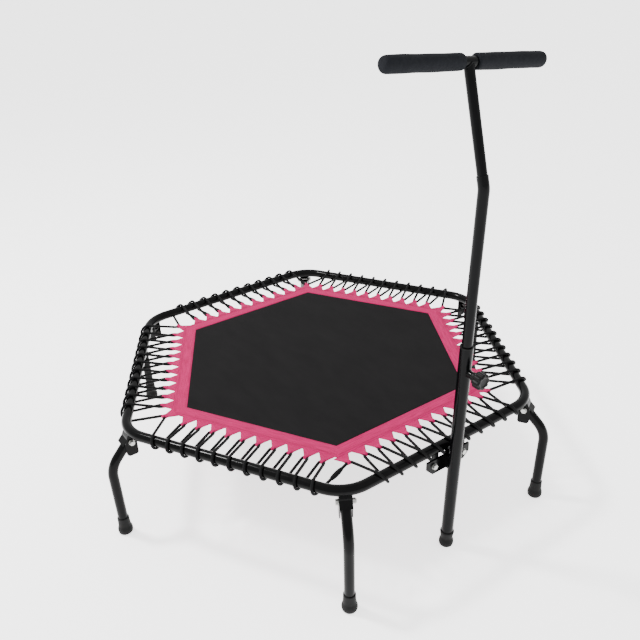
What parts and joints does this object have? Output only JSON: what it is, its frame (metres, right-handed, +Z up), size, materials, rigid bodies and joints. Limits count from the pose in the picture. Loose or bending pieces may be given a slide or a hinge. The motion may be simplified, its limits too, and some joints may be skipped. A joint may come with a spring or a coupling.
{
  "type": "mini trampoline",
  "caption": "Hexagonal fitness trampoline with a bungee-laced mat, fold-in legs and a height-adjustable T-shaped handle.",
  "frame": {"origin": "middle of the object's box on the floor; the hexagon's centre is 24.1 mm behind it at +Y, because the handle's knob reaches further out than a leg", "axes": "+Z up, the handle stands on the -Y side with its crossbar along X"},
  "size_m": [1.4036, 1.2693, 1.2784],
  "materials": {
    "frame_paint": "satin black powder coat",
    "handle_paint": "gloss black powder coat",
    "zinc_steel": "zinc plated",
    "foot_rubber": "matte black moulded rubber",
    "grip_foam": "matte closed-cell foam",
    "black_plastic": "fine-grained moulded plastic",
    "mat_weave": "tight black woven polypropylene",
    "pink_webbing": "pink woven webbing",
    "bungee_cord": "black braided bungee sheath"
  },
  "bodies": {
    "frame": {"bungee_1": "bungee_cord", "bungee_2": "bungee_cord", "bungee_3": "bungee_cord", "bungee_4": "bungee_cord", "bungee_5": "bungee_cord", "bungee_6": "bungee_cord", "bungee_clamp": "zinc_steel", "frame_corner_1": "frame_paint", "frame_corner_2": "frame_paint", "frame_corner_3": "frame_paint", "frame_corner_4": "frame_paint", "frame_corner_5": "frame_paint", "frame_corner_6": "frame_paint", "frame_sleeves": "frame_paint", "knob_boss": "frame_paint", "leg_bracket_1": "frame_paint", "leg_bracket_2": "frame_paint", "leg_bracket_3": "frame_paint", "leg_bracket_4": "frame_paint", "leg_bracket_5": "frame_paint", "leg_bracket_6": "frame_paint", "leg_pivot_bolts": "zinc_steel", "leg_pivot_nuts": "zinc_steel", "post_bolts": "zinc_steel", "post_bracket": "frame_paint", "post_bushing": "black_plastic", "post_foot": "foot_rubber", "post_nuts": "zinc_steel", "post_plate": "frame_paint", "post_tube": "handle_paint", "washers": "zinc_steel"},
    "mat": {"mat": "mat_weave", "mat_border": "pink_webbing", "mat_tabs_1": "pink_webbing", "mat_tabs_2": "pink_webbing", "mat_tabs_3": "pink_webbing", "mat_tabs_4": "pink_webbing", "mat_tabs_5": "pink_webbing", "mat_tabs_6": "pink_webbing"},
    "handle": {"handle_tube": "handle_paint", "handle_guide": "black_plastic", "handle_stem": "handle_paint", "crossbar": "handle_paint", "grip_left": "grip_foam", "grip_right": "grip_foam"},
    "clamp_screw": {"clamp_washer": "black_plastic"},
    "knob": {"knob": "black_plastic", "knob_stud": "zinc_steel"},
    "leg_1": {"leg_1": "frame_paint", "leg_foot_1": "foot_rubber"},
    "leg_2": {"leg_2": "frame_paint", "leg_foot_2": "foot_rubber"},
    "leg_3": {"leg_3": "frame_paint", "leg_foot_3": "foot_rubber"},
    "leg_4": {"leg_4": "frame_paint", "leg_foot_4": "foot_rubber"},
    "leg_5": {"leg_5": "frame_paint", "leg_foot_5": "foot_rubber"},
    "leg_6": {"leg_6": "frame_paint", "leg_foot_6": "foot_rubber"}
  },
  "joints": [
    {"name": "leg_1_fold", "type": "hinge", "parent": "frame", "child": "leg_1", "pos_m": [0.3128, -0.51768, 0.2945], "axis": [0.866, 0.5, 0], "range_deg": [0, 95]},
    {"name": "leg_2_fold", "type": "hinge", "parent": "frame", "child": "leg_2", "pos_m": [0.6256, 0.0241, 0.2945], "axis": [0, 1, 0], "range_deg": [0, 95]},
    {"name": "leg_3_fold", "type": "hinge", "parent": "frame", "child": "leg_3", "pos_m": [0.3128, 0.56589, 0.2945], "axis": [-0.866, 0.5, 0], "range_deg": [0, 95]},
    {"name": "leg_4_fold", "type": "hinge", "parent": "frame", "child": "leg_4", "pos_m": [-0.3128, 0.56589, 0.2945], "axis": [-0.866, -0.5, 0], "range_deg": [0, 95]},
    {"name": "leg_5_fold", "type": "hinge", "parent": "frame", "child": "leg_5", "pos_m": [-0.6256, 0.0241, 0.2945], "axis": [0, -1, 0], "range_deg": [0, 95]},
    {"name": "leg_6_fold", "type": "hinge", "parent": "frame", "child": "leg_6", "pos_m": [-0.3128, -0.51768, 0.2945], "axis": [0.866, -0.5, 0], "range_deg": [0, 95]},
    {"name": "handle_slide", "type": "slide", "parent": "frame", "child": "handle", "axis": [0, -0.0375, 0.9993], "range_m": [-0.24, 0.06]},
    {"name": "clamp_screw_travel", "type": "slide", "parent": "frame", "child": "clamp_screw", "axis": [0, -0.9993, -0.0375], "range_m": [0, 0.00375]},
    {"name": "knob_turn", "type": "hinge", "parent": "clamp_screw", "child": "knob", "pos_m": [0, -0.57091, 0.55961], "axis": [0, -0.9993, -0.0375], "range_deg": [0, 1081]},
    {"name": "mat_bounce", "type": "slide", "parent": "frame", "child": "mat", "axis": [0, 0, 1], "range_m": [-0.18, 0], "stiffness_N_per_m": 5000, "springref_m": 0.01, "deforming": ["bungee_1", "bungee_2", "bungee_3", "bungee_4", "bungee_5", "bungee_6"]}
  ],
  "couplings": [
    {"joint": "knob_turn", "follows": "clamp_screw_travel", "rad_per_m": 5026.5}
  ]
}
